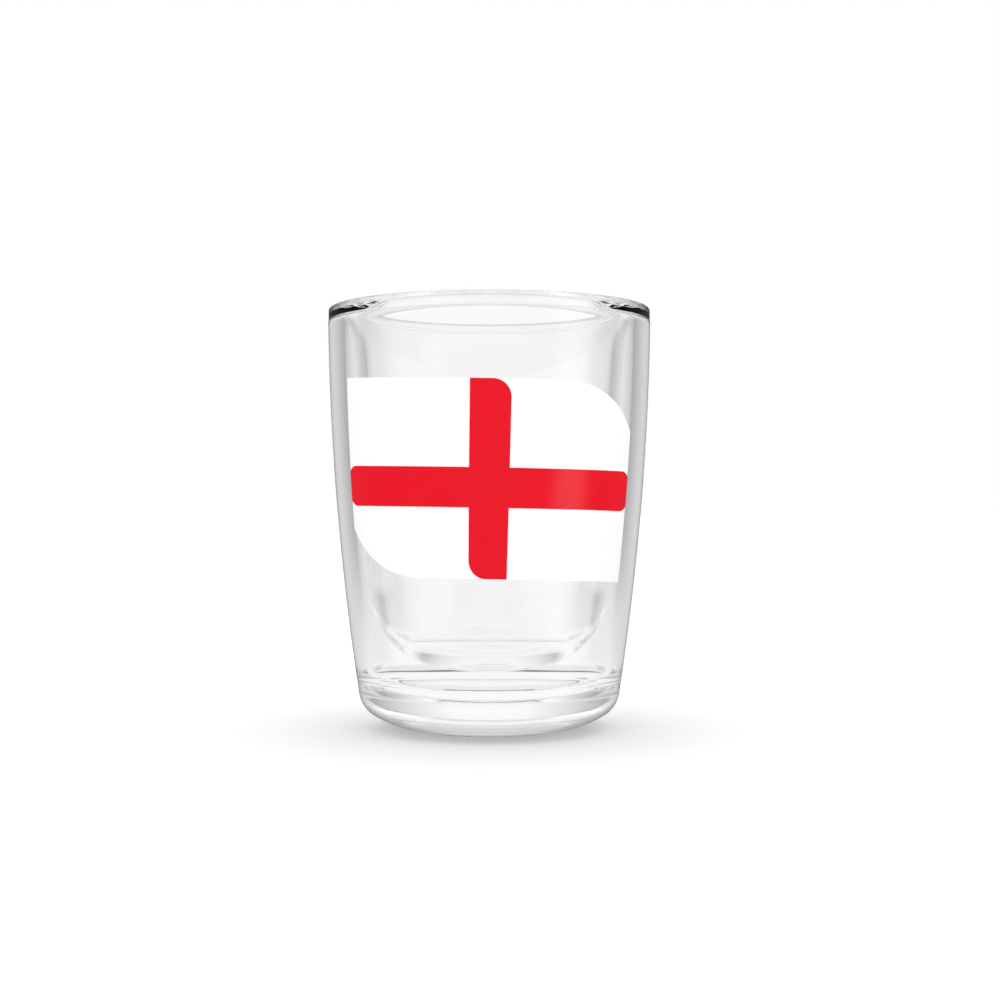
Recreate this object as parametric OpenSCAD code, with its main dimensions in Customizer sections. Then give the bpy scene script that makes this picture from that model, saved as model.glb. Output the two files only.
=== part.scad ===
// Double-wall shot glass with a printed flag.
// Millimetres, +Z up. The origin is the middle of the underside, which stands on the table.
// The print faces -Y.

/* [Overall] */
// Height from the table to the top of the rim
height = 65; // [64:0.5:66]
// Outside radius just under the lip, where the glass is widest
rim_r = 25; // [24.5:0.1:25.5]
// Radius of the long outward curve of the side wall
barrel_r = 420; // [380:5:500]
// Height at which that curve would stand upright
barrel_peak = 69; // [67:0.5:72]

/* [Outer shell] */
// Thickness of the outer wall
shell_wall = 2.5; // [2.2:0.1:2.7]
// Height of the seam between the shell and the lip of the cup
seam_z = 63; // [62.6:0.1:63.2]
// Radius of the tight curve low on the side
heel_r = 4.5; // [3.5:0.1:5]
// Height of the centre of that tight curve
heel_z = 6.2; // [6:0.1:6.6]
// Radius of the shallow curve that runs in under the glass
sole_r = 16; // [15:0.5:18]
// Thickness of the base under the air gap
base_t = 5.8; // [5:0.1:6.2]
// Radius of the corner at the bottom of the air gap
gap_corner_r = 4.6; // [3:0.1:5]

/* [Inner cup] */
// Height at which the straight wall of the cup ends and the flare begins
neck_z = 58; // [57:0.5:59]
// Outside radius of the cup at the neck
cup_neck_r = 20.85; // [20.6:0.05:21]
// Outside taper of the cup, in degrees a side
cup_taper = 3.3; // [3:0.1:3.6]
// Radius of the big corner on the underside of the cup
cup_corner_r = 13; // [12:0.5:13.5]
// Height of the underside of the cup
cup_floor_z = 9.5; // [9:0.1:10]
// Radius of the flare that carries the cup out to the shell
flare_r = 12; // [11.5:0.5:13]
// Inside radius of the cup at the neck
bowl_neck_r = 19.15; // [18.9:0.05:19.3]
// Inside taper of the cup, in degrees a side
bowl_taper = 4.6; // [4.2:0.1:5]
// Radius of the corner at the bottom of the bowl
bowl_corner_r = 7.8; // [6:0.2:9]
// Height of the floor of the bowl
bowl_floor_z = 12.2; // [11.6:0.1:13]

/* [Lip] */
// Outside radius of the lip
lip_r = 24.93; // [24.5:0.01:25]
// Radius of the outer edge of the lip
lip_outer_round = 0.4; // [0.3:0.1:1.2]
// Radius of the inner edge of the lip
lip_inner_round = 1.2; // [0.8:0.1:1.5]

/* [Print] */
// Half the width of the flag, measured round the glass at the height of its middle
flag_half_w = 24.4; // [20:0.1:26]
// Height of the flag
flag_h = 28.4; // [24:0.1:30]
// Height of the middle of the flag above the table
flag_z = 38.3; // [36:0.1:40]
// Turn of the flag about its middle, clockwise, in degrees
flag_tilt = 1; // [0:0.1:3]
// How much each side edge stands above and below the height at the middle
flag_bow = 0.5; // [0:0.05:1]
// Radius of the two big corners of the flag
flag_corner_r = 17.5; // [12:0.5:20]
// Run of those corners along the top and bottom edges
flag_corner_run = 13.9; // [10:0.1:13.9]
// Width of the bars of the cross
bar_w = 5.7; // [4:0.1:7]
// Height of the middle of the level bar, above the middle of the flag
bar_rise = -1.2; // [-2:0.1:2]
// Radius of the rounded corners of the bars
bar_corner_r = 2.6; // [1:0.1:2.7]
// Run of the corners at the ends of the level bar
bar_end_run = 1.8; // [0.5:0.1:1.8]
// Thickness of each layer of ink
ink_t = 0.06; // [0.04:0.01:0.1]

/* [Hidden] */
$fn = 180;
// Segments of the side wall's circle, so that its long arc stays smooth
BARREL_FN = 1440;
// Steps in a rounded corner of the print
ARC_STEPS = 12;
// Spacing of the points along the print's edges, close enough to follow the curve of the glass
PRINT_STEP = 2;
// Further out than any part of the glass
FAR = 80;
// How far a cutting shape reaches past the face it cuts
OVER = 1;
// Overlap that joins two shapes which would only touch
EPS = 0.01;

barrel_x = rim_r - sqrt(pow(barrel_r, 2) - pow(barrel_peak - seam_z, 2));

// Outside radius of the side wall at height z
function wall_r(z) = barrel_x + sqrt(pow(barrel_r, 2) - pow(barrel_peak - z, 2));
function unit(v) = v / norm(v);

// ---- Profiles, drawn to the right of the axis ----

module right_of_axis() {
    intersection() {
        translate([0, -FAR]) square([FAR, 3 * FAR]);
        children();
    }
}

// Everything inside the side curve, or inside it by `inset`, between two heights
module barrel(inset, z_low, z_high) {
    intersection() {
        translate([barrel_x, barrel_peak]) circle(r = barrel_r - inset, $fn = BARREL_FN);
        translate([0, z_low]) square([FAR, z_high - z_low]);
    }
}

// Centre of a circle of radius r at height z that touches the side curve from inside
function touching(inset, r, z) =
    [barrel_x + sqrt(pow(barrel_r - inset - r, 2) - pow(barrel_peak - z, 2)), z];
// Where that circle touches the curve
function touch_point(centre, r) = centre + r * unit(centre - [barrel_x, barrel_peak]);

module outside_profile() {
    heel = touching(0, heel_r, heel_z);
    top = touch_point(heel, heel_r);
    foot_r = heel[0] - sqrt(pow(sole_r - heel_r, 2) - pow(sole_r - heel_z, 2));
    sole = [foot_r, sole_r];
    joint = heel + heel_r * unit(heel - sole);
    barrel(0, top[1], seam_z);
    translate(heel) circle(r = heel_r);
    intersection() {
        translate(sole) circle(r = sole_r);
        polygon([sole, [foot_r, -OVER], sole + 2 * (joint - sole)]);
    }
    polygon([[0, 0], [foot_r, 0], joint, top, [0, top[1]]]);
}

// The space inside the shell, which the cup hangs in
module gap_profile() {
    corner = touching(shell_wall, gap_corner_r, base_t + gap_corner_r);
    top = touch_point(corner, gap_corner_r);
    barrel(shell_wall, top[1], seam_z + OVER);
    translate(corner) circle(r = gap_corner_r);
    polygon([[0, base_t], [corner[0], base_t], top, [0, top[1]]]);
}

// Centre of the flare above a neck of the given radius and taper
function flare_centre(neck_r, taper, r) = [neck_r + r * cos(taper), neck_z - r * sin(taper)];

// A tapered bowl shape that flares above the neck, from its floor up to z_top
module bowl_profile(neck_r, taper, corner_r, floor_z, r_flare, z_top) {
    corner_z = floor_z + corner_r;
    corner_x = neck_r - (neck_z - corner_z) * tan(taper) - corner_r / cos(taper);
    corner = [corner_x, corner_z];
    top = corner + corner_r * [cos(taper), -sin(taper)];
    flare = flare_centre(neck_r, taper, r_flare);
    polygon([[0, floor_z], [corner_x, floor_z], top, [neck_r, neck_z], [0, neck_z]]);
    right_of_axis() translate(corner) circle(r = corner_r);
    difference() {
        translate([0, neck_z - EPS]) square([flare[0], z_top - neck_z + EPS]);
        translate(flare) circle(r = r_flare);
    }
}

// What is cut away to round the inner edge of the lip
module mouth_round(flare, r_flare) {
    r = lip_inner_round;
    z = height - r;
    centre = [flare[0] - sqrt(pow(r_flare - r, 2) - pow(z - flare[1], 2)), z];
    touch = centre + r * unit(centre - flare);
    difference() {
        polygon([centre, touch, [touch[0], height + OVER], [centre[0], height + OVER]]);
        translate(centre) circle(r = r);
    }
}

module lip_profile() {
    z = height - lip_outer_round;
    translate([0, seam_z]) square([lip_r, z - seam_z]);
    translate([0, seam_z]) square([lip_r - lip_outer_round, height - seam_z]);
    translate([lip_r - lip_outer_round, z]) circle(r = lip_outer_round);
}

// ---- The flag, drawn flat about its middle and then laid on the side wall ----

// Points of an arc about `centre` from angle `from` to angle `to`
function arc(centre, r, from, to) =
    [for (i = [0:ARC_STEPS]) let (a = from + (to - from) * i / ARC_STEPS) centre + r * [cos(a), sin(a)]];

// A rectangle about the origin whose corners 0 to 3, counted from the top right and round to the
// left, are rounded where `rounded` says so. A corner runs `run` along the top or bottom edge,
// and where that is less than its radius the side edge trims it.
function flag_outline(half_w, half_h, r, run, rounded) =
    let (trim = acos(run / r), cx = half_w - run, cy = half_h - r)
    concat(
        rounded[0] ? arc([cx, cy], r, trim, 90) : [[half_w, half_h]],
        rounded[1] ? arc([-cx, cy], r, 90, 180 - trim) : [[-half_w, half_h]],
        rounded[2] ? arc([-cx, -cy], r, 180 + trim, 270) : [[-half_w, -half_h]],
        rounded[3] ? arc([cx, -cy], r, 270, 360 - trim) : [[half_w, -half_h]]);

// The same outline with no two neighbouring points further apart than about `step`
function fine(points, step) =
    [for (i = [0:len(points) - 1])
        let (a = points[i], b = points[(i + 1) % len(points)], n = max(1, ceil(norm(b - a) / step)))
        for (k = [0:n - 1]) a + (b - a) * k / n];

// Where a point of the flat flag lies on the glass, seen from the front
function on_glass(p) =
    let (u = p[0] * cos(flag_tilt) + p[1] * sin(flag_tilt),
         v = p[1] * cos(flag_tilt) - p[0] * sin(flag_tilt),
         spread = 1 + flag_bow * pow(u / flag_half_w, 2) * 2 / flag_h,
         z = flag_z + v * spread,
         azimuth = u / wall_r(flag_z) * 180 / PI)
    [wall_r(z) * sin(azimuth), z];

module laid_on_glass(points) {
    polygon([for (p = fine(points, PRINT_STEP)) on_glass(p)]);
}

// One layer of ink, with its underside `lift` outside the glass
module ink_layer(lift) {
    intersection() {
        rotate_extrude() {
            difference() {
                barrel(-lift - ink_t, flag_z - flag_h, seam_z - OVER);
                barrel(-lift, flag_z - flag_h - OVER, seam_z);
            }
        }
        rotate([90, 0, 0]) linear_extrude(FAR) children();
    }
}

// ---- Pieces ----

module outer_shell() {
    color([0.88, 0.92, 0.93, 0.35])
    rotate_extrude() {
        difference() {
            outside_profile();
            gap_profile();
        }
    }
}

module inner_cup() {
    wall = cup_neck_r - bowl_neck_r;
    bowl_flare_r = flare_r + wall;
    color([0.93, 0.96, 0.97, 0.35])
    rotate_extrude() {
        difference() {
            union() {
                bowl_profile(cup_neck_r, cup_taper, cup_corner_r, cup_floor_z, flare_r, seam_z);
                lip_profile();
            }
            bowl_profile(bowl_neck_r, bowl_taper, bowl_corner_r, bowl_floor_z, bowl_flare_r, height + OVER);
            mouth_round(flare_centre(bowl_neck_r, bowl_taper, bowl_flare_r), bowl_flare_r);
        }
    }
}

module flag_field() {
    color("white")
    ink_layer(0)
    laid_on_glass(flag_outline(flag_half_w, flag_h / 2, flag_corner_r, flag_corner_run,
                               [true, false, true, false]));
}

module flag_cross() {
    upright = flag_outline(bar_w / 2, flag_h / 2, bar_corner_r, bar_corner_r, [true, false, true, false]);
    level = flag_outline(flag_half_w, bar_w / 2, bar_corner_r, bar_end_run, [true, true, true, true]);
    color([0.92, 0.10, 0.18])
    ink_layer(ink_t) {
        laid_on_glass(upright);
        laid_on_glass([for (p = level) p + [0, bar_rise]]);
    }
}

outer_shell();
inner_cup();
flag_field();
flag_cross();
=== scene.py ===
"""Looks of the double-wall shot glass: smooth glass walls, printed flag, studio and camera.

Metres, +Z up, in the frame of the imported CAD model. The print faces -Y.
"""
import math

import bmesh
import bpy
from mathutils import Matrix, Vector

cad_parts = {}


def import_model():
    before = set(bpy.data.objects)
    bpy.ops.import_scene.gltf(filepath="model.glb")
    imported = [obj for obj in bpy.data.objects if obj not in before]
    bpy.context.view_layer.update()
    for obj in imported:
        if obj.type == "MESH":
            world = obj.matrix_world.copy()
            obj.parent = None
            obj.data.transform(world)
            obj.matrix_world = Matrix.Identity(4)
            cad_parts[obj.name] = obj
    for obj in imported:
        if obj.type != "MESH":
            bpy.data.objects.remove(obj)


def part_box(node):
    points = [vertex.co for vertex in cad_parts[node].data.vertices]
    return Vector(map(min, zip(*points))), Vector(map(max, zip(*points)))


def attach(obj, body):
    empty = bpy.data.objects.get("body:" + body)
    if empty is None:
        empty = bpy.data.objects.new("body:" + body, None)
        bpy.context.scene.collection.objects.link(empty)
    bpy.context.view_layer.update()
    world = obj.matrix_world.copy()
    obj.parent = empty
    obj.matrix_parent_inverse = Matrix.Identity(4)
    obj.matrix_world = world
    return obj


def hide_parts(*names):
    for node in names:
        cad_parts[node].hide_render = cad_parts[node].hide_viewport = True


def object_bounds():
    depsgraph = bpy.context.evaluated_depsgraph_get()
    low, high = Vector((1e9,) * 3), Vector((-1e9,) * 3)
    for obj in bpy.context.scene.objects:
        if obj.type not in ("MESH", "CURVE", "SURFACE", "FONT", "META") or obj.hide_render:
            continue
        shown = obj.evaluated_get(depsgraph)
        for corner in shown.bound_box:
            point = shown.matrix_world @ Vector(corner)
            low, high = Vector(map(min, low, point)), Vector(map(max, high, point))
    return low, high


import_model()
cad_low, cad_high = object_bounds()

MM = 0.001

# ---------------------------------------------------------------- driving sizes, from the frame

HEIGHT = cad_high.z
RIM_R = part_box("outer_shell")[1].x
SEAM_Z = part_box("outer_shell")[1].z
LIP_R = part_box("inner_cup")[1].x
CUP_FLOOR_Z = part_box("inner_cup")[0].z

# the side wall is one long arc
BARREL_R = 420 * MM
BARREL_PEAK = 69 * MM
BARREL_X = RIM_R - math.sqrt(BARREL_R**2 - (BARREL_PEAK - SEAM_Z) ** 2)

# outer shell
SHELL_WALL = 2.5 * MM
HEEL_R = 4.5 * MM
HEEL_Z = 6.2 * MM
SOLE_R = 16 * MM
BASE_T = 5.8 * MM
GAP_CORNER_R = 4.6 * MM

# inner cup
NECK_Z = 58 * MM
CUP_NECK_R = 20.85 * MM
CUP_TAPER = math.radians(3.3)
CUP_CORNER_R = 13 * MM
FLARE_R = 12 * MM
BOWL_NECK_R = 19.15 * MM
BOWL_TAPER = math.radians(4.6)
BOWL_CORNER_R = 7.8 * MM
BOWL_FLOOR_Z = 12.2 * MM
LIP_OUTER_ROUND = 0.4 * MM
LIP_INNER_ROUND = 1.2 * MM

# print
FLAG_HALF_W = 24.4 * MM
FLAG_H = 28.4 * MM
FLAG_Z = 38.3 * MM
FLAG_TILT = math.radians(1.0)
FLAG_BOW = 0.5 * MM
FLAG_CORNER_R = 17.5 * MM
FLAG_CORNER_RUN = 13.9 * MM
BAR_W = 5.7 * MM
BAR_RISE = -1.2 * MM
BAR_CORNER_R = 2.6 * MM
BAR_END_RUN = 1.8 * MM
INK_T = 0.06 * MM
INK_BITE = 0.02 * MM  # how far a layer is sunk into what it is printed on, so light passes straight in

SEAM_GAP = 0.02 * MM  # keeps the faces of the two glass pieces apart at the seam
EDGE_ROUND = 0.12 * MM  # softening of the edges at the seam

TURNS = 288  # steps round the axis
WALL_STEPS = 60  # steps up a side wall
CORNER_STEPS = 18  # steps round a corner of the shell
EDGE_STEPS = 4  # steps round a softened edge
ON_AXIS = 1e-9  # a point nearer the axis than this is on it
SAME_POINT = 1e-7  # points of a drawing nearer than this are one
SHARP_EDGE = math.radians(40)  # a fold above this shades as an edge


# ---------------------------------------------------------------- profiles

def wall_r(z):
    """Outside radius of the side wall at height z."""
    return BARREL_X + math.sqrt(BARREL_R**2 - (BARREL_PEAK - z) ** 2)


def arc(centre, r, start, end, steps):
    """Points of an arc about centre from angle start to angle end, in radians."""
    out = []
    for i in range(steps + 1):
        a = start + (end - start) * i / steps
        out.append((centre[0] + r * math.cos(a), centre[1] + r * math.sin(a)))
    return out


def angle_from(centre, point):
    return math.atan2(point[1] - centre[1], point[0] - centre[0])


def touching(inset, r, z):
    """Centre of a circle of radius r at height z that touches the side wall's arc from inside."""
    return (BARREL_X + math.sqrt((BARREL_R - inset - r) ** 2 - (BARREL_PEAK - z) ** 2), z)


def side_line(inset, z_low, z_high, steps):
    """Points up the side wall's arc, moved in by inset."""
    out = []
    for i in range(steps + 1):
        z = z_low + (z_high - z_low) * i / steps
        out.append((BARREL_X + math.sqrt((BARREL_R - inset) ** 2 - (BARREL_PEAK - z) ** 2), z))
    return out


def shell_profile():
    """The outer shell's section, from the middle of the underside round to the floor of the gap."""
    heel = touching(0, HEEL_R, HEEL_Z)
    foot_r = heel[0] - math.sqrt((SOLE_R - HEEL_R) ** 2 - (SOLE_R - HEEL_Z) ** 2)
    sole = (foot_r, SOLE_R)
    joint_angle = angle_from(sole, heel)
    side_angle = angle_from((BARREL_X, BARREL_PEAK), heel)
    outside = [(foot_r * i / 6, 0) for i in range(6)]
    outside += arc(sole, SOLE_R, -math.pi / 2, joint_angle, 14)
    outside += arc(heel, HEEL_R, joint_angle, side_angle, CORNER_STEPS)[1:]
    outside += side_line(0, outside[-1][1], SEAM_Z - EDGE_ROUND, WALL_STEPS)[1:]
    edge = (outside[-1][0] - EDGE_ROUND, SEAM_Z - EDGE_ROUND)
    outside += arc(edge, EDGE_ROUND, 0, math.pi / 2, EDGE_STEPS)[1:]

    corner = touching(SHELL_WALL, GAP_CORNER_R, BASE_T + GAP_CORNER_R)
    corner_angle = angle_from((BARREL_X, BARREL_PEAK), corner)
    inside = [(corner[0] * i / 8, BASE_T) for i in range(8)]
    inside += arc(corner, GAP_CORNER_R, -math.pi / 2, corner_angle, CORNER_STEPS)
    inside += side_line(SHELL_WALL, inside[-1][1], SEAM_Z - EDGE_ROUND, WALL_STEPS)[1:]
    edge = (inside[-1][0] + EDGE_ROUND, SEAM_Z - EDGE_ROUND)
    inside += arc(edge, EDGE_ROUND, math.pi, math.pi / 2, EDGE_STEPS)[1:]
    return outside + inside[::-1]


def bowl_line(neck_r, taper, corner_r, floor_z, flare_r, z_top):
    """Points from the middle of a bowl's floor, round its corner and up its wall and flare."""
    corner_z = floor_z + corner_r
    corner_x = neck_r - (NECK_Z - corner_z) * math.tan(taper) - corner_r / math.cos(taper)
    flare = (neck_r + flare_r * math.cos(taper), NECK_Z - flare_r * math.sin(taper))
    line = [(corner_x * i / 6, floor_z) for i in range(6)]
    line += arc((corner_x, corner_z), corner_r, -math.pi / 2, -taper, 28)
    low = line[-1]
    wall_steps = 30
    for i in range(1, wall_steps):
        t = i / wall_steps
        line.append((low[0] + (neck_r - low[0]) * t, low[1] + (NECK_Z - low[1]) * t))
    end = math.pi - math.asin((z_top - flare[1]) / flare_r)
    line += arc(flare, flare_r, math.pi - taper, end, 20)
    return line, flare


def cup_profile():
    """The inner cup's section, from the middle of its underside, over the lip and down into the bowl."""
    lip_z = SEAM_Z + SEAM_GAP
    outside, _ = bowl_line(CUP_NECK_R, CUP_TAPER, CUP_CORNER_R, CUP_FLOOR_Z, FLARE_R, lip_z)
    under = (LIP_R - EDGE_ROUND, lip_z + EDGE_ROUND)
    outside += arc(under, EDGE_ROUND, -math.pi / 2, 0, EDGE_STEPS)
    over = (LIP_R - LIP_OUTER_ROUND, HEIGHT - LIP_OUTER_ROUND)
    outside += arc(over, LIP_OUTER_ROUND, 0, math.pi / 2, 14)

    bowl_flare_r = FLARE_R + CUP_NECK_R - BOWL_NECK_R
    flare_z = NECK_Z - bowl_flare_r * math.sin(BOWL_TAPER)
    flare_x = BOWL_NECK_R + bowl_flare_r * math.cos(BOWL_TAPER)
    r = LIP_INNER_ROUND
    mouth_z = HEIGHT - r
    mouth_x = flare_x - math.sqrt((bowl_flare_r - r) ** 2 - (mouth_z - flare_z) ** 2)
    touch = angle_from((flare_x, flare_z), (mouth_x, mouth_z))
    touch_z = mouth_z + r * math.sin(touch)
    inside, _ = bowl_line(BOWL_NECK_R, BOWL_TAPER, BOWL_CORNER_R, BOWL_FLOOR_Z, bowl_flare_r, touch_z)
    inside += arc((mouth_x, mouth_z), r, touch, math.pi / 2, 10)[1:]
    return outside + inside[::-1]


# ---------------------------------------------------------------- mesh builders

def finish_mesh(bm, name):
    """Turns a bmesh into an object in the scene, smooth except across real edges."""
    bmesh.ops.recalc_face_normals(bm, faces=bm.faces)
    for edge in bm.edges:
        edge.smooth = edge.calc_face_angle(0) < SHARP_EDGE
    mesh = bpy.data.meshes.new(name)
    bm.to_mesh(mesh)
    bm.free()
    mesh.polygons.foreach_set("use_smooth", [True] * len(mesh.polygons))
    obj = bpy.data.objects.new(name, mesh)
    bpy.context.scene.collection.objects.link(obj)
    return obj


def lathe(name, profile):
    """A closed solid turned about +Z from a section that starts and ends on the axis."""
    bm = bmesh.new()
    rings = []
    for x, z in profile:
        if x < ON_AXIS:
            rings.append([bm.verts.new((0, 0, z))])
            continue
        ring = []
        for k in range(TURNS):
            a = 2 * math.pi * k / TURNS
            ring.append(bm.verts.new((x * math.cos(a), x * math.sin(a), z)))
        rings.append(ring)
    for low, high in zip(rings, rings[1:]):
        for k in range(TURNS):
            n = (k + 1) % TURNS
            if len(low) == 1:
                bm.faces.new((low[0], high[n], high[k]))
            elif len(high) == 1:
                bm.faces.new((low[k], low[n], high[0]))
            else:
                bm.faces.new((low[k], low[n], high[n], high[k]))
    return finish_mesh(bm, name)


def on_glass(u, v, lift):
    """Where a point of the flat flag, (u, v) about its middle, lies on the side wall."""
    across = u * math.cos(FLAG_TILT) + v * math.sin(FLAG_TILT)
    up = v * math.cos(FLAG_TILT) - u * math.sin(FLAG_TILT)
    spread = 1 + FLAG_BOW * (across / FLAG_HALF_W) ** 2 * 2 / FLAG_H
    z = FLAG_Z + up * spread
    azimuth = across / wall_r(FLAG_Z)
    r = wall_r(z) + lift
    return Vector((r * math.sin(azimuth), -r * math.cos(azimuth), z))


def corner_inset(v, half_h, r, run):
    """How far a rounded corner pulls the side edge in at height v, and 0 away from the corner."""
    into = max(0.0, abs(v) - (half_h - r))
    return max(0.0, run - math.sqrt(max(0.0, r * r - into * into)))


def corner_rows(half_h, r, run, steps):
    """Heights up a rounded top corner, close together where it turns fast."""
    trim = math.acos(run / r)
    return [half_h - r + r * math.sin(trim + (math.pi / 2 - trim) * i / steps) for i in range(steps + 1)]


def even_rows(low, high, steps):
    return [low + (high - low) * i / steps for i in range(steps + 1)]


def mirrored(rows):
    return [-v for v in reversed(rows)]


def patch(bm, rows, left, right, columns):
    """Quads between the left and right edges, which are functions of the row's height."""
    grid = []
    for v in rows:
        a, b = left(v), right(v)
        grid.append([bm.verts.new((a + (b - a) * c / columns, v, 0)) for c in range(columns + 1)])
    for low, high in zip(grid, grid[1:]):
        for c in range(columns):
            bm.faces.new((low[c], low[c + 1], high[c + 1], high[c]))


def flag_field_drawing():
    """The white field: a rectangle with its top right and bottom left corners rounded."""
    half_h = FLAG_H / 2
    bend = corner_rows(half_h, FLAG_CORNER_R, FLAG_CORNER_RUN, 36)
    rows = mirrored(bend)[:-1] + even_rows(-bend[0], bend[0], 16) + bend[1:]

    def inset(v):
        return corner_inset(v, half_h, FLAG_CORNER_R, FLAG_CORNER_RUN)

    bm = bmesh.new()
    patch(
        bm,
        rows,
        lambda v: -FLAG_HALF_W + (inset(v) if v < 0 else 0),
        lambda v: FLAG_HALF_W - (inset(v) if v > 0 else 0),
        72,
    )
    return bm


def flag_cross_drawing():
    """The cross: an upright with two rounded corners and a level bar with rounded ends."""
    half_h = FLAG_H / 2
    half_w = BAR_W / 2
    bend = corner_rows(half_h, BAR_CORNER_R, BAR_CORNER_R, 14)
    end_bend = corner_rows(half_w, BAR_CORNER_R, BAR_END_RUN, 10)
    level = mirrored(end_bend)[:-1] + even_rows(-end_bend[0], end_bend[0], 4) + end_bend[1:]
    level = [v + BAR_RISE for v in level]
    above = even_rows(level[-1], bend[0], 10) + bend[1:]
    below = mirrored(bend)[:-1] + even_rows(-bend[0], level[0], 10)

    def upright_inset(v):
        return corner_inset(v, half_h, BAR_CORNER_R, BAR_CORNER_R)

    def end_inset(v):
        return corner_inset(v - BAR_RISE, half_w, BAR_CORNER_R, BAR_END_RUN)

    bm = bmesh.new()
    patch(bm, level, lambda v: -FLAG_HALF_W + end_inset(v), lambda v: -half_w, 36)
    patch(bm, level, lambda v: -half_w, lambda v: half_w, 10)
    patch(bm, level, lambda v: half_w, lambda v: FLAG_HALF_W - end_inset(v), 36)
    patch(bm, above, lambda v: -half_w, lambda v: half_w - upright_inset(v), 10)
    patch(bm, below, lambda v: -half_w + upright_inset(v), lambda v: half_w, 10)
    return bm


def ink_layer(name, drawing, lift):
    """Lays a flat drawing on the glass as a closed layer whose top is lift + INK_T outside it."""
    bmesh.ops.remove_doubles(drawing, verts=drawing.verts, dist=SAME_POINT)
    drawing.verts.index_update()
    flat = [(v.co.x, v.co.y) for v in drawing.verts]
    faces = [[v.index for v in f.verts] for f in drawing.faces]
    border = []
    for face in drawing.faces:
        for loop in face.loops:
            if loop.edge.is_boundary:
                border.append((loop.vert.index, loop.link_loop_next.vert.index))
    drawing.free()
    bm = bmesh.new()
    top = [bm.verts.new(on_glass(u, v, lift + INK_T)) for u, v in flat]
    bottom = [bm.verts.new(on_glass(u, v, lift - INK_BITE)) for u, v in flat]
    for face in faces:
        bm.faces.new([top[i] for i in face])
        bm.faces.new([bottom[i] for i in reversed(face)])
    for a, b in border:
        bm.faces.new((top[b], top[a], bottom[a], bottom[b]))
    return finish_mesh(bm, name)


# ---------------------------------------------------------------- materials

class Finish:
    """A Principled material whose colour, roughness and relief come from noise in the object's own space."""

    def __init__(self, name):
        self.material = bpy.data.materials.new(name)
        self.material.use_nodes = True
        self.tree = self.material.node_tree
        self.shader = self.tree.nodes["Principled BSDF"]
        self.place = self.tree.nodes.new("ShaderNodeTexCoord").outputs["Object"]
        self.relief = None

    def noise(self, size, detail=2.0, seed=0.0):
        """Noise whose blobs are about size metres across."""
        node = self.tree.nodes.new("ShaderNodeTexNoise")
        node.noise_dimensions = "4D"
        node.inputs["W"].default_value = seed
        node.inputs["Scale"].default_value = 1 / size
        node.inputs["Detail"].default_value = detail
        self.tree.links.new(self.place, node.inputs["Vector"])
        return node.outputs["Fac"]

    def colour(self, noise, low, high):
        """Runs from low to high over the middle of the noise, where nearly all of it lies."""
        ramp = self.tree.nodes.new("ShaderNodeValToRGB")
        ramp.color_ramp.elements[0].position = 0.3
        ramp.color_ramp.elements[0].color = (*low, 1)
        ramp.color_ramp.elements[1].position = 0.7
        ramp.color_ramp.elements[1].color = (*high, 1)
        self.tree.links.new(noise, ramp.inputs["Fac"])
        self.tree.links.new(ramp.outputs["Color"], self.shader.inputs["Base Color"])

    def roughness(self, noise, low, high):
        spread = self.tree.nodes.new("ShaderNodeMapRange")
        spread.inputs["To Min"].default_value = low
        spread.inputs["To Max"].default_value = high
        self.tree.links.new(noise, spread.inputs["Value"])
        self.tree.links.new(spread.outputs["Result"], self.shader.inputs["Roughness"])

    def bump(self, noise, height):
        """Adds relief, height metres from its lowest to its highest."""
        node = self.tree.nodes.new("ShaderNodeBump")
        node.inputs["Distance"].default_value = height
        self.tree.links.new(noise, node.inputs["Height"])
        if self.relief is not None:
            self.tree.links.new(self.relief, node.inputs["Normal"])
        self.relief = node.outputs["Normal"]
        self.tree.links.new(self.relief, self.shader.inputs["Normal"])


GLASS_IOR = 1.5


def glass_material(name, seed):
    """Clear glass with the faint waviness and cast of a blown wall."""
    glass = Finish(name)
    glass.shader.inputs["IOR"].default_value = GLASS_IOR
    glass.shader.inputs["Roughness"].default_value = 0.0
    glass.shader.inputs["Transmission Weight"].default_value = 1.0
    glass.colour(glass.noise(14 * MM, seed=seed), (0.988, 0.989, 0.989), (1, 1, 1))
    glass.bump(glass.noise(9 * MM, seed=seed + 1), 0.005 * MM)
    return glass.material


def ink_material(name, thin, full, seed):
    """Opaque screen-print ink: slightly uneven cover, a fine grain and a soft sheen."""
    ink = Finish(name)
    ink.colour(ink.noise(2.6 * MM, 4.0, seed), thin, full)
    ink.roughness(ink.noise(0.5 * MM, 3.0, seed + 1), 0.12, 0.2)
    ink.bump(ink.noise(3 * MM, 1.0, seed + 2), 0.006 * MM)
    ink.bump(ink.noise(0.22 * MM, 2.0, seed + 3), 0.0015 * MM)
    return ink.material


# ---------------------------------------------------------------- the pieces

def add_piece(obj, node, material):
    obj.data.materials.append(material)
    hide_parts(node)
    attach(obj, "root")


# each ink where its cover is thin, and where it is full
WHITE_THIN = (0.915, 0.915, 0.91)
WHITE_FULL = (0.93, 0.93, 0.93)
RED_THIN = (0.76, 0.0034, 0.0145)
RED_FULL = (0.78, 0.0044, 0.0165)


def outer_shell():
    wall = lathe("shell_glass_wall", shell_profile())
    add_piece(wall, "outer_shell", glass_material("shell_glass", 3.0))


def inner_cup():
    wall = lathe("cup_glass_wall", cup_profile())
    add_piece(wall, "inner_cup", glass_material("cup_glass", 8.0))


def flag_field():
    ink = ink_layer("flag_field_ink", flag_field_drawing(), 0)
    add_piece(ink, "flag_field", ink_material("white_ink", WHITE_THIN, WHITE_FULL, 1.0))


def flag_cross():
    ink = ink_layer("flag_cross_ink", flag_cross_drawing(), INK_T)
    add_piece(ink, "flag_cross", ink_material("red_ink", RED_THIN, RED_FULL, 5.0))


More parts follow.
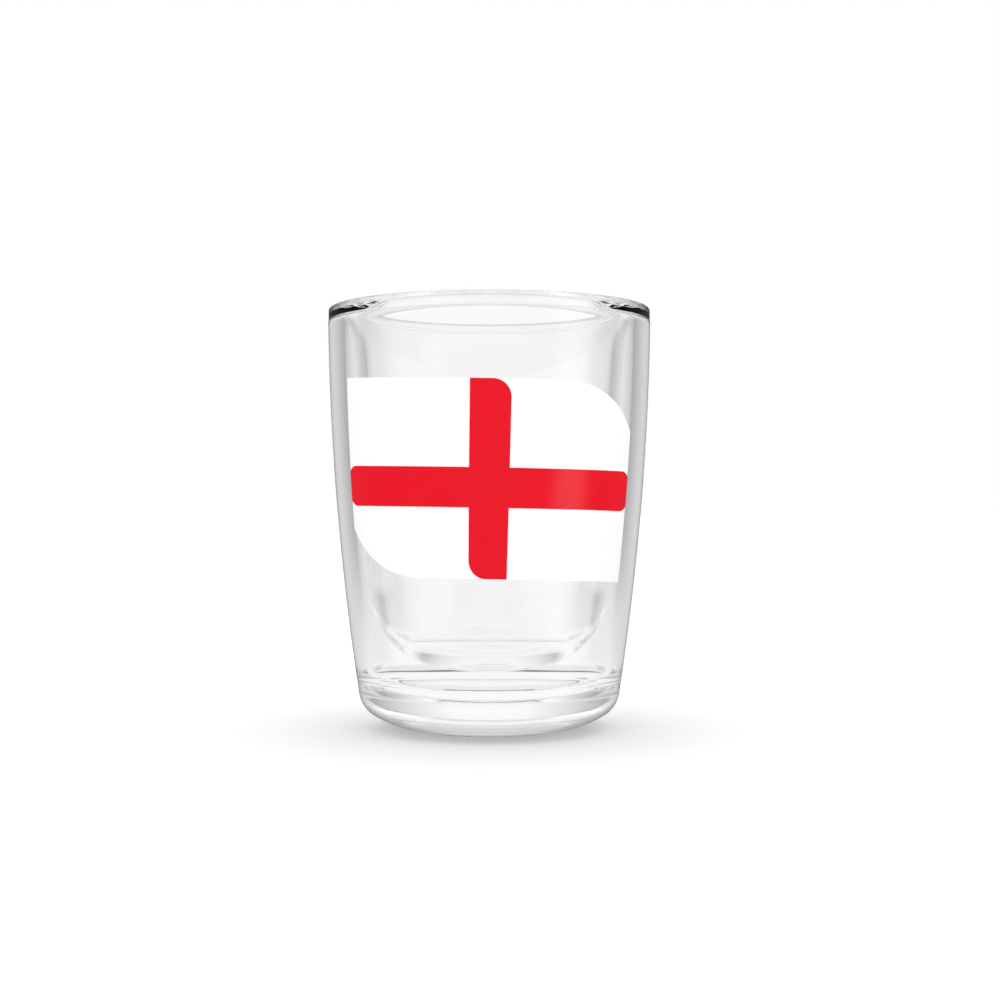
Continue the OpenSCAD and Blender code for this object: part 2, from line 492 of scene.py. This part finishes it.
outer_shell()
inner_cup()
flag_field()
flag_cross()


# ---------------------------------------------------------------- studio

FLOOR_HALF_WIDTH = 6.0
FLOOR_DROP = 0.02 * MM  # keeps the floor's face apart from the underside of the glass
FLOOR_WHITE = 0.97
FLOOR_PAINTED_SHADOW = 0.56  # floor colour of the painted shadow right under the glass
# how far the painted shadow reaches from the glass, and how many samples find the glass
SHADOW_REACH = 50 * MM
SHADOW_SAMPLES = 16


def floor():
    mesh = bpy.data.meshes.new("floor")
    half = FLOOR_HALF_WIDTH
    corners = [(-half, -half, 0), (half, -half, 0), (half, half, 0), (-half, half, 0)]
    mesh.from_pydata(corners, [], [(0, 1, 2, 3)])
    obj = bpy.data.objects.new("floor", mesh)
    bpy.context.scene.collection.objects.link(obj)
    mat = bpy.data.materials.new("floor")
    mat.use_nodes = True
    tree = mat.node_tree
    bsdf = tree.nodes["Principled BSDF"]
    bsdf.inputs["Roughness"].default_value = 1.0
    bsdf.inputs["Specular IOR Level"].default_value = 0.0
    # clear glass hardly shades a floor lit from all round, so a shadow is painted into the floor's colour,
    # darkening it where the glass is near
    painted_shadow_mask = tree.nodes.new("ShaderNodeAmbientOcclusion")
    painted_shadow_mask.samples = SHADOW_SAMPLES
    painted_shadow_mask.inputs["Distance"].default_value = SHADOW_REACH
    painted_shadow = tree.nodes.new("ShaderNodeMapRange")
    painted_shadow.inputs["To Min"].default_value = FLOOR_PAINTED_SHADOW
    painted_shadow.inputs["To Max"].default_value = FLOOR_WHITE
    tree.links.new(painted_shadow_mask.outputs["AO"], painted_shadow.inputs["Value"])
    tree.links.new(painted_shadow.outputs["Result"], bsdf.inputs["Base Color"])
    mesh.materials.append(mat)
    obj.location.z = -FLOOR_DROP
    obj.visible_transmission = False
    obj.visible_glossy = False


floor()


class Sky:
    """The studio round the glass: what light finds in each direction, by nodes of the world's tree."""

    def __init__(self, tree):
        self.tree = tree
        direction = tree.nodes.new("ShaderNodeTexCoord").outputs["Generated"]
        split = tree.nodes.new("ShaderNodeSeparateXYZ")
        tree.links.new(direction, split.inputs[0])
        x, y, z = split.outputs
        # degrees round from straight behind the glass, the same to the left and to the right
        self.round = self.degrees(self.math("ARCTAN2", self.math("ABSOLUTE", x), y))
        # the same, but positive to the right and negative to the left
        self.right = self.degrees(self.math("ARCTAN2", x, y))
        self.up = self.degrees(self.math("ARCSINE", z))

    def math(self, operation, a, b=None):
        node = self.tree.nodes.new("ShaderNodeMath")
        node.operation = operation
        for socket, value in zip(node.inputs, (a, b)):
            if isinstance(value, bpy.types.NodeSocket):
                self.tree.links.new(value, socket)
            elif value is not None:
                socket.default_value = value
        return node.outputs[0]

    def degrees(self, radians):
        return self.math("MULTIPLY", radians, 180 / math.pi)

    def step(self, value, start, end, rise="SMOOTHSTEP"):
        """0 where value is below start, 1 above end, with a rise between."""
        node = self.tree.nodes.new("ShaderNodeMapRange")
        node.interpolation_type = rise
        self.tree.links.new(value, node.inputs["Value"])
        node.inputs["From Min"].default_value = start
        node.inputs["From Max"].default_value = end
        return node.outputs["Result"]

    def between(self, value, low, high, soft):
        """1 from low to high and 0 outside, with a fade soft degrees wide centred on each end."""
        rise = self.step(value, low - soft / 2, low + soft / 2)
        fall = self.step(value, high - soft / 2, high + soft / 2)
        return self.math("SUBTRACT", rise, fall)

    def both(self, a, b):
        return self.math("MULTIPLY", a, b)

    def area(self, around, around_span, up_span):
        """1 inside a patch of the studio, given by its spans around and up."""
        return self.both(self.between(around, *around_span), self.between(self.up, *up_span))

    def paint(self, under, over, where):
        """over where the mask is 1 and under where it is 0."""
        node = self.tree.nodes.new("ShaderNodeMix")
        for name, value in (("Factor", where), ("A", under), ("B", over)):
            socket = next(i for i in node.inputs if i.name == name and i.type == "VALUE")
            if isinstance(value, bpy.types.NodeSocket):
                self.tree.links.new(value, socket)
            else:
                socket.default_value = value
        return node.outputs[0]


# how bright the studio is: to the camera, on matt surfaces, through glass and mirrored
BACKGROUND = 1.0
SOFT_LIGHT = 1.2
SWEEP = 1.0
SWEEP_FOOT = 0.84
SIDE_FLAG = 0.42
TABLE_EDGE = 0.1
TABLE_RAIL = 0.15
CEILING = 0.8
FRONT_SOFTBOX = 1.3
DARK_ROOM = 0.04
SWEEP_MIRRORED = 0.1
GLOSS_PANEL = 0.95

# where things stand in the studio: degrees round from straight behind the glass, and up from level;
# a rise or a fall is where it starts and ends, a span is a start, an end and the width of their fades
CEILING_RISE = (32, 42)
SOFTBOX_ROUND_RISE = (128, 136)
SOFTBOX_UP = (36, 62, 6)
FOOT_ROUND = (-90, 16, 12)
FOOT_UP = (-27, -15, 4)
FLAG_RISE = (10, 48)
FLAG_FALL = (50, 70)
FLAG_UP = (-8, 30, 10)
BACK_EDGE_ROUND = (-90, 20, 8)
BACK_EDGE_UP = (-26, -23.5, 1)
RAIL_ROUND = (17, 36, 5)
RAILS_UP = ((-20.4, -18.8, 0.8), (-17, -14.6, 0.8), (-12.8, -11.8, 0.8))
SWEEP_MIRRORED_FALL = (60, 90)
PANEL_RIGHT = (106, 132, 14)
PANEL_UP = (-20, 50, 20)


def world():
    studio = bpy.data.worlds.new("studio")
    bpy.context.scene.world = studio
    studio.use_nodes = True
    studio.cycles.sampling_method = "NONE"
    tree = studio.node_tree
    tree.nodes.clear()
    sky = Sky(tree)

    # seen through the glass: a white sweep between two grey flags, a ceiling, a softbox high behind the
    # camera, and a white table with a dark edge at its back and three dark rails on each side
    through = sky.paint(SWEEP, CEILING, sky.step(sky.up, *CEILING_RISE))
    softbox = sky.both(sky.step(sky.round, *SOFTBOX_ROUND_RISE), sky.between(sky.up, *SOFTBOX_UP))
    through = sky.paint(through, FRONT_SOFTBOX, softbox)
    through = sky.paint(through, SWEEP_FOOT, sky.area(sky.round, FOOT_ROUND, FOOT_UP))
    falloff = sky.math("SUBTRACT", sky.step(sky.round, *FLAG_RISE, "LINEAR"), sky.step(sky.round, *FLAG_FALL))
    flags = sky.both(falloff, sky.between(sky.up, *FLAG_UP))
    through = sky.paint(through, SIDE_FLAG, flags)
    through = sky.paint(through, TABLE_EDGE, sky.area(sky.round, BACK_EDGE_ROUND, BACK_EDGE_UP))
    for rail_up in RAILS_UP:
        through = sky.paint(through, TABLE_RAIL, sky.area(sky.round, RAIL_ROUND, rail_up))

    # mirrored in the ink and on the glass: a dark room with one tall soft panel at the right
    gloss = sky.paint(SWEEP_MIRRORED, DARK_ROOM, sky.step(sky.round, *SWEEP_MIRRORED_FALL))
    gloss = sky.paint(gloss, GLOSS_PANEL, sky.area(sky.right, PANEL_RIGHT, PANEL_UP))

    rays = tree.nodes.new("ShaderNodeLightPath")
    light = sky.paint(gloss, through, rays.outputs["Is Transmission Ray"])
    light = sky.paint(light, SOFT_LIGHT, rays.outputs["Is Diffuse Ray"])
    light = sky.paint(light, BACKGROUND, rays.outputs["Is Camera Ray"])
    background = tree.nodes.new("ShaderNodeBackground")
    background.inputs["Color"].default_value = (1, 1, 1, 1)
    tree.links.new(light, background.inputs["Strength"])
    output = tree.nodes.new("ShaderNodeOutputWorld")
    tree.links.new(background.outputs[0], output.inputs["Surface"])


world()

# light that winds through both walls of the glass takes many turns before it leaves
LIGHT_TURNS = 60
cycles = bpy.context.scene.cycles
cycles.max_bounces = LIGHT_TURNS
cycles.transmission_bounces = LIGHT_TURNS
cycles.glossy_bounces = LIGHT_TURNS
# the filter would darken what is lit through the glass, such as the back of the print
cycles.blur_glossy = 0.0

# ---------------------------------------------------------------- camera

CAMERA_DISTANCE = 0.250
EYE_HEIGHT = 0.0345
LENS_MM = 57.67
SENSOR_MM = 36
SHIFT_RIGHT = 0.0108  # as parts of the picture's width
SHIFT_UP = 0.006
CLIP_NEAR = 0.01
CLIP_FAR = 50

camera_data = bpy.data.cameras.new("camera")
camera_data.lens = LENS_MM
camera_data.sensor_width = SENSOR_MM
camera_data.shift_x = SHIFT_RIGHT
camera_data.shift_y = SHIFT_UP
camera_data.clip_start = CLIP_NEAR
camera_data.clip_end = CLIP_FAR
camera = bpy.data.objects.new("camera", camera_data)
camera.location = (0, -CAMERA_DISTANCE, EYE_HEIGHT)
camera.rotation_euler = (math.pi / 2, 0, 0)
bpy.context.scene.collection.objects.link(camera)
bpy.context.scene.camera = camera

bpy.context.scene.view_settings.view_transform = "Standard"
